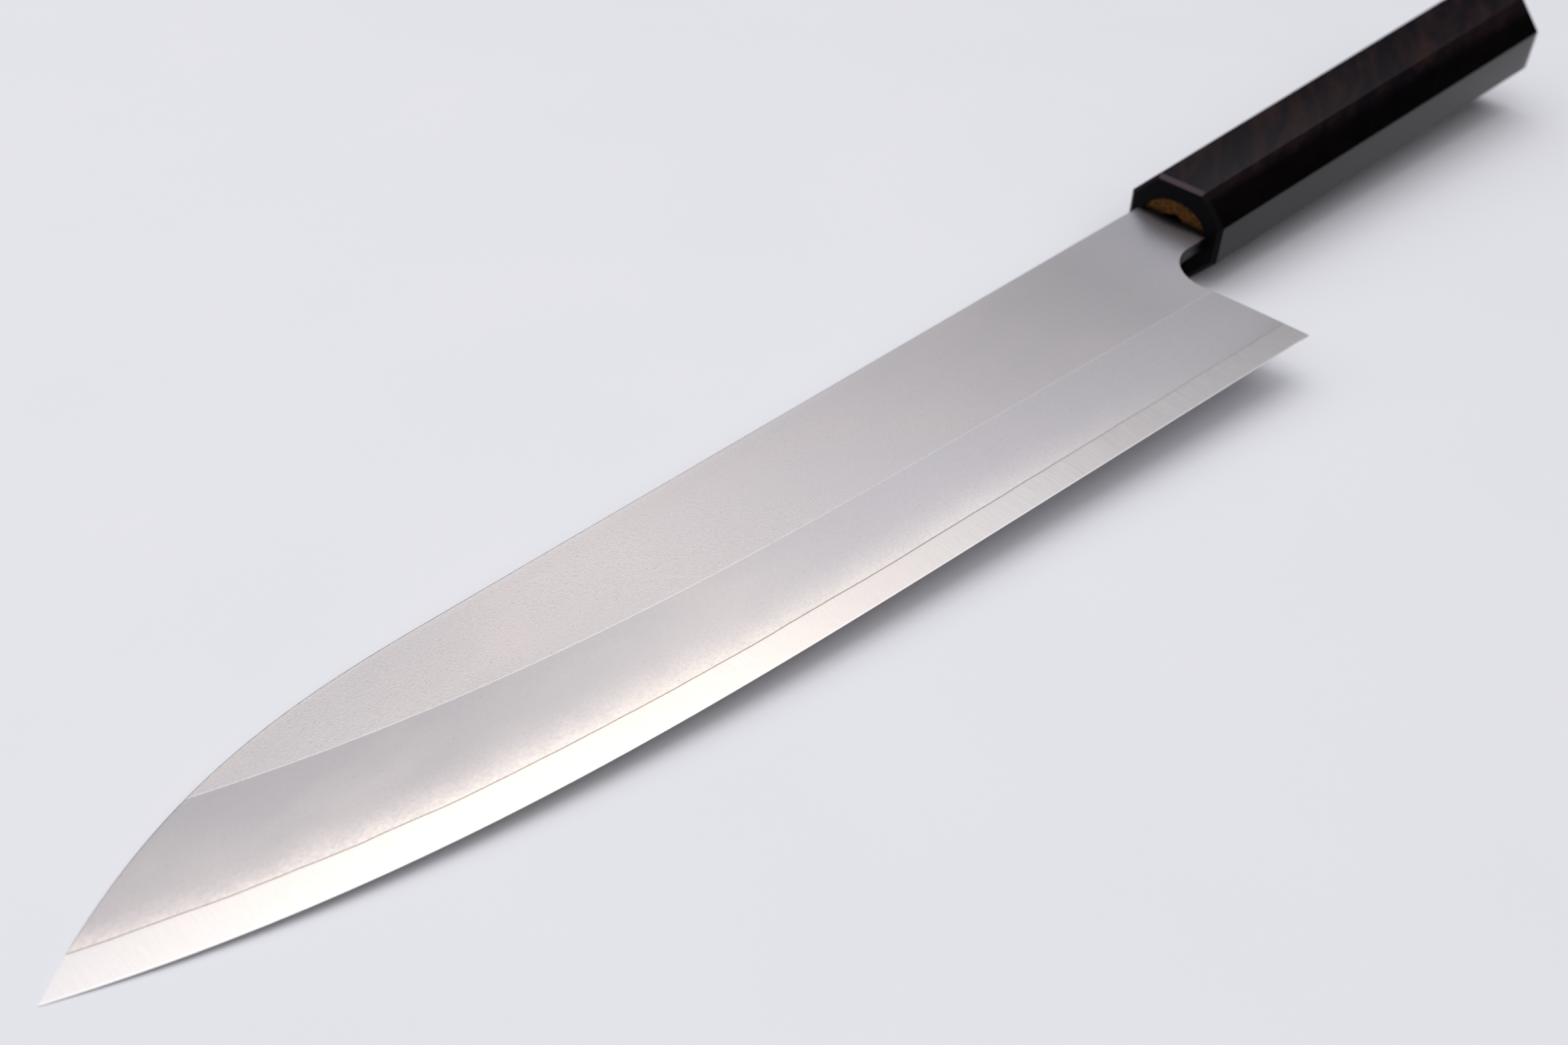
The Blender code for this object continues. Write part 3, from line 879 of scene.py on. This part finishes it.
def cladding_steel():
    """Soft iron cladding: a sand-grained upper flat and a bevel ground across."""
    material, tree, shader = new_material("cladding_finish")
    share = marked(tree, "bevel_share")
    above_line = marked(tree, "above_line_mm")
    below_spine = marked(tree, "below_spine_mm")
    ahead = marked(tree, "ahead_mm")
    on_flat = span(tree, share, 1 - FINISH_BLEND, 1 + FINISH_BLEND)

    dimples = cloud(tree, (2.2, 4.6, 4.0), detail=3.0, rough=0.6)
    sand = cloud(tree, (6.0, 9.0, 9.0), detail=3.0, rough=0.7)
    patches = cloud(tree, (0.03, 0.07, 0.1), detail=3.0, rough=0.5)
    mottle = cloud(tree, (1.6, 2.0, 2.0), detail=4.0, rough=0.65)
    strokes = cloud(tree, (5.0, 0.12, 0.3), detail=4.0, rough=0.7)
    spots = pits(tree, (0.55, 0.8, 0.8), size=0.11)

    warm_places = span(tree, patches, 0.45, 0.75)
    warm = calc(tree, "MULTIPLY", warm_places, span(tree, ahead, 30.0, 120.0, 0.25, 0.6))
    flat = flat_colour(tree, ahead, share, dimples, warm)
    bevel = bevel_colour(tree, ahead, above_line, strokes, mottle, warm)
    colour = blend_colour(tree, on_flat, bevel, flat)
    grainy = span(tree, sand, 0.25, 0.5, 0.13, 0.0)
    colour = blend_colour(tree, grainy, colour, SAND_GREY)

    wobble = vary(tree, dimples, -0.008, 0.008)
    above_shinogi = calc(tree, "ADD", calc(tree, "SUBTRACT", share, 1.0), wobble)
    # Painted highlight along the shinogi's crest.
    shinogi_highlight = span(tree, calc(tree, "ABSOLUTE", above_shinogi), 0.001, 0.007, 0.17, 0.0)
    colour = blend_colour(tree, shinogi_highlight, colour, SHINOGI_HIGHLIGHT)
    on_spine = span(tree, below_spine, 0.03, 0.16, 0.30, 0.0)
    colour = blend_colour(tree, on_spine, colour, SPINE_GREY)
    colour = blend_colour(tree, calc(tree, "MULTIPLY", spots, SPOT_STRENGTH), colour, SPOT_GREY)
    # Painted shade on the choil and the neck's underside.
    colour = blend_colour(tree, shaded_neck_sides(tree, below_spine, ahead), colour, NECK_SHADE)
    # Painted shade where the blade enters the handle.
    colour = blend_colour(tree, joint_shade(tree, below_spine, ahead, dimples), colour, JOINT_SHADE)

    flat_rough = vary(tree, dimples, 0.31, 0.43)
    bevel_rough = vary(tree, sand, 0.27, 0.37)
    peened = bump(tree, calc(tree, "MULTIPLY", dimples, on_flat), strength=0.38, distance_mm=0.05)
    brushed = bump(tree, strokes, strength=0.04, distance_mm=0.02, under=peened)
    sandy = bump(tree, sand, strength=0.20, distance_mm=0.02, under=brushed)
    pitted = bump(tree, spots, strength=-0.5, distance_mm=0.05, under=sandy)
    plug(tree, shader, Base_Color=colour, Normal=pitted,
         Roughness=blend_value(tree, on_flat, bevel_rough, flat_rough))
    shader.inputs["Metallic"].default_value = 1.0
    return material


def core_steel():
    """Hard steel core: ground across the edge, with a fine brown weld line."""
    material, tree, shader = new_material("core_finish")
    above_line = marked(tree, "above_line_mm")
    below_spine = marked(tree, "below_spine_mm")
    share = marked(tree, "bevel_share")
    ahead = marked(tree, "ahead_mm")
    strokes = cloud(tree, (7.0, 0.13, 0.3), detail=5.0, rough=0.75)
    sand = cloud(tree, (3.0, 3.0, 3.0), detail=3.0, rough=0.6)
    spots = pits(tree, (0.5, 0.8, 0.8), size=0.09)

    scratch_strength = span(tree, ahead, 40.0, 150.0, 0.38, 0.12, smooth=True)
    scratched = calc(tree, "MULTIPLY", span(tree, strokes, 0.52, 0.72), scratch_strength)
    colour = blend_colour(tree, scratched, ramp(tree, ahead, EDGE_TONES), SCRATCH_GREY)
    glint = calc(tree, "MULTIPLY", span(tree, strokes, 0.45, 0.30), GLINT_STRENGTH)
    colour = blend_colour(tree, glint, colour, GLINT_BRIGHT)
    spotted = calc(tree, "MULTIPLY", spots, CORE_SPOT_STRENGTH)
    colour = blend_colour(tree, spotted, colour, CORE_SPOT_GREY)
    at_line = span(tree, above_line, -0.10, -0.04)
    broken = span(tree, sand, 0.2, 0.6, 0.65, 1.0)
    weld_strength = span(tree, ahead, 30.0, 110.0, 0.10, 0.85, smooth=True)
    colour = blend_colour(tree, product(tree, at_line, broken, weld_strength), colour, WELD_BROWN)
    # Painted highlight along the cutting edge.
    edge_highlight = span(tree, share, 0.004, 0.012, 0.6, 0.0)
    colour = blend_colour(tree, edge_highlight, colour, EDGE_HIGHLIGHT)
    # Painted shade on the choil and the neck's underside.
    colour = blend_colour(tree, shaded_neck_sides(tree, below_spine, ahead), colour, NECK_SHADE)
    plug(tree, shader, Base_Color=colour, Roughness=vary(tree, strokes, 0.22, 0.34),
         Normal=bump(tree, strokes, strength=0.14, distance_mm=0.02))
    shader.inputs["Metallic"].default_value = 1.0
    return material


def ebony():
    """Polished dark hardwood: smoky brown patches, long grain and short open pores; the broad flats are
    painted lighter.
    """
    material, tree, shader = new_material("ebony_finish")
    figure = cloud(tree, (0.034, 0.17, 0.17), detail=4.0, rough=0.62, distortion=0.7, lean=FIGURE_LEAN)
    grain = cloud(tree, (0.10, 2.6, 2.6), detail=5.0, rough=0.65, distortion=0.3)
    pores = span(tree, cloud(tree, (0.45, 8.0, 8.0), detail=2.0, rough=0.5), 0.60, 0.68)
    behind, sideways = handle_places(tree)

    # Painted light: the broad flats get a lighter, bluish grey and the brown figure in full; on the
    # other faces the figure is faint, as painted shade.
    lit_broad_flat = span(tree, sideways, 8.5, 10.3)
    dark = blend_colour(tree, grain, *EBONY_DARK)
    smoky_lit = blend_colour(tree, grain, *EBONY_SMOKY_LIT)
    brown = blend_colour(tree, grain, *EBONY_BROWN)
    colour = blend_colour(tree, lit_broad_flat, dark, smoky_lit)
    patchy = span(tree, figure, 0.42, 0.68, 0.0, 0.85)
    patch = calc(tree, "MULTIPLY", patchy, span(tree, lit_broad_flat, 0.0, 1.0, 0.08, 1.0))
    colour = blend_colour(tree, patch, colour, brown)
    colour = blend_colour(tree, pores, colour, PORE_BLACK)
    end_grain = span(tree, behind, 0.03, 0.08, 1.0, 0.0)
    colour = blend_colour(tree, end_grain, colour, END_GRAIN)
    chamfer = FRONT_CHAMFER / MM
    chamfer_starts = span(tree, behind, 0.06, 0.10)
    chamfer_ends = span(tree, behind, chamfer - 0.04, chamfer + 0.02, 1.0, 0.0)
    sawn = calc(tree, "MULTIPLY", chamfer_starts, chamfer_ends)
    # Painted highlight: the chamfer's pale sawn colour shows mostly where the chamfer faces up.
    lit = span(tree, upright(tree), 0.52, 0.68, 0.04, 0.62)
    colour = blend_colour(tree, calc(tree, "MULTIPLY", sawn, lit), colour, SAWN_PALE_HIGHLIGHT)

    rough = blend_value(tree, sawn, vary(tree, grain, 0.13, 0.22), SAWN_ROUGHNESS)
    rough = blend_value(tree, end_grain, rough, END_GRAIN_ROUGHNESS)
    matt = calc(tree, "MAXIMUM", end_grain, sawn)
    grained = bump(tree, grain, strength=0.05, distance_mm=0.03)
    plug(tree, shader, Base_Color=colour, Roughness=rough,
         Specular_IOR_Level=span(tree, matt, 0.0, 1.0, 0.5, 0.2),
         Normal=bump(tree, pores, strength=-0.25, distance_mm=0.03, under=grained))
    shader.inputs["IOR"].default_value = EBONY_IOR
    shader.inputs["Specular Tint"].default_value = EBONY_SHEEN
    return material


def insert_wood():
    """Light wood seen on its end grain, scorched next to the tang, with painted shade deeper in the
    bore and the pit.
    """
    material, tree, shader = new_material("insert_finish")
    rays = cloud(tree, (0.2, 1.6, 0.9), detail=5.0, rough=0.7)
    speckle = cloud(tree, (0.4, 2.2, 2.2), detail=4.0, rough=0.72)
    behind, sideways = handle_places(tree)
    ragged = calc(tree, "ADD", sideways, vary(tree, speckle, -0.9, 0.9))
    by_tang = span(tree, ragged, 1.9, 2.8, 0.97, 0.0)
    # Scorch beside the tang, and painted shade deeper than the front face.
    scorch_and_shade = calc(tree, "MAXIMUM", by_tang, span(tree, behind, 0.4, 1.6))
    speckled = span(tree, speckle, 0.44, 0.56, 0.0, 0.92)
    wood = blend_colour(tree, speckled, blend_colour(tree, rays, *INSERT_PALE), SPECKLE_BROWN)
    plug(tree, shader, Base_Color=blend_colour(tree, scorch_and_shade, wood, SCORCH_AND_SHADE),
         Roughness=vary(tree, rays, 0.6, 0.85),
         Normal=bump(tree, speckle, strength=0.7, distance_mm=0.2))
    shader.inputs["Specular IOR Level"].default_value = INSERT_SPECULAR
    return material


def cured_resin():
    """Brown resin with faint streaks."""
    material, tree, shader = new_material("resin_finish")
    streaks = cloud(tree, (0.8, 0.8, 0.8), detail=3.0, rough=0.5)
    plug(tree, shader, Base_Color=blend_colour(tree, streaks, *RESIN_BROWN),
         Roughness=vary(tree, streaks, 0.30, 0.50),
         Normal=bump(tree, streaks, strength=0.2, distance_mm=0.1))
    return material


def floor_surface():
    material, tree, shader = new_material("floor_finish")
    mottle = cloud(tree, (0.02, 0.02, 0.02), detail=3.0, rough=0.5)
    plug(tree, shader, Base_Color=blend_colour(tree, mottle, *FLOOR_PALE))
    shader.inputs["Roughness"].default_value = FLOOR_ROUGHNESS
    return material


# ---------------------------------------------------------------- stage

def build_floor():
    """A pale sheet that touches the tip and the handle's lower front edge."""
    tip = Vector((CORE_LOW.x, 0, -EDGE_HALF))
    heel = Vector((FRONT_X, 0, -FRONT_HALF_WIDTH))
    slope = (heel.z - tip.z) / (heel.x - tip.x)
    bm = bmesh.new()
    corners = [(-1, -1), (1, -1), (1, 1), (-1, 1)]
    bm.faces.new([bm.verts.new((tip.x + a * FLOOR_HALF, b * FLOOR_HALF,
                                tip.z + slope * a * FLOOR_HALF)) for a, b in corners])
    mesh = bpy.data.meshes.new("floor")
    bm.to_mesh(mesh)
    bm.free()
    floor = add_object("floor", mesh)
    mesh.materials.append(floor_surface())


def soft_light(name, azimuth, elevation, distance, width, height, power, colour):
    """A softbox that faces the blade's middle; its azimuth turns from +Y towards +X."""
    middle = Vector((x_at(BLADE_END / 2), EDGE_START_Y / 2, 0))
    a, e = math.radians(azimuth), math.radians(elevation)
    towards = Vector((math.sin(a) * math.cos(e), math.cos(a) * math.cos(e), math.sin(e)))
    lamp = bpy.data.lights.new(name, "AREA")
    lamp.shape = "RECTANGLE"
    lamp.size = width
    lamp.size_y = height
    lamp.energy = power
    lamp.color = colour
    obj = bpy.data.objects.new(name, lamp)
    obj.location = middle + towards * distance
    obj.rotation_euler = towards.to_track_quat("Z", "Y").to_euler()
    bpy.context.scene.collection.objects.link(obj)


def build_world():
    """A broad soft ceiling light in a dark room; only the camera sees the pale backdrop."""
    world = bpy.data.worlds.new("studio")
    world.use_nodes = True
    tree = world.node_tree
    place = add_node(tree, "ShaderNodeTexCoord").outputs["Generated"]
    axes = add_node(tree, "ShaderNodeSeparateXYZ", {0: place}).outputs
    height = span(tree, axes["Z"], CEILING_FROM, CEILING_TO, ROOM_LEVEL, CEILING_LEVEL, smooth=True)
    along = span(tree, axes["X"], CEILING_FADE_FROM, CEILING_FADE_TO, CEILING_FADE, 1.0)
    across = span(tree, axes["Y"], CAMERA_SIDE_FROM, CAMERA_SIDE_TO, CAMERA_SIDE, 1.0)
    strength = calc(tree, "MULTIPLY", calc(tree, "MULTIPLY", height, along), across)
    seen = add_node(tree, "ShaderNodeLightPath").outputs["Is Camera Ray"]
    background = tree.nodes["Background"]
    tree.links.new(blend_colour(tree, seen, CEILING_COLOUR, BACKDROP), background.inputs["Color"])
    tree.links.new(span(tree, seen, 0.0, 1.0, strength, 1.0), background.inputs["Strength"])
    bpy.context.scene.world = world


def build_lights():
    build_world()
    soft_light("key", azimuth=10, elevation=76, distance=1.1, width=0.9, height=0.8,
               power=3.0, colour=(1.0, 0.97, 0.93))
    soft_light("rim", azimuth=-48, elevation=30, distance=1.4, width=1.0, height=0.6,
               power=1.3, colour=(1.0, 0.98, 0.97))
    soft_light("fill", azimuth=205, elevation=40, distance=1.4, width=0.9, height=0.6,
               power=0.8, colour=(1.0, 0.96, 0.90))


def build_camera():
    a, e = CAMERA_AZIMUTH, CAMERA_ELEVATION
    back = Vector((math.sin(a) * math.cos(e), -math.cos(a) * math.cos(e), math.sin(e)))
    right = Vector((0, 0, 1)).cross(back).normalized()
    up = back.cross(right)
    cos, sin = math.cos(CAMERA_ROLL), math.sin(CAMERA_ROLL)
    turned_right = cos * right + sin * up
    turned_up = cos * up - sin * right
    turn = Matrix((turned_right, turned_up, back)).transposed()
    data = bpy.data.cameras.new("camera")
    data.lens = LENS
    data.sensor_width = SENSOR
    camera = bpy.data.objects.new("camera", data)
    camera.matrix_world = Matrix.Translation(CAMERA_PLACE) @ turn.to_4x4()
    bpy.context.scene.collection.objects.link(camera)
    focus = bpy.data.objects.new("focus", None)
    focus.location = (x_at(FOCUS_AHEAD), EDGE_START_Y / 2, 0)
    bpy.context.scene.collection.objects.link(focus)
    data.dof.use_dof = True
    data.dof.focus_object = focus
    data.dof.aperture_fstop = F_STOP
    bpy.context.scene.camera = camera


build_blade()
build_handle()
build_insert()
finish_resin()
build_floor()
build_lights()
build_camera()
bpy.context.scene.view_settings.view_transform = "Standard"
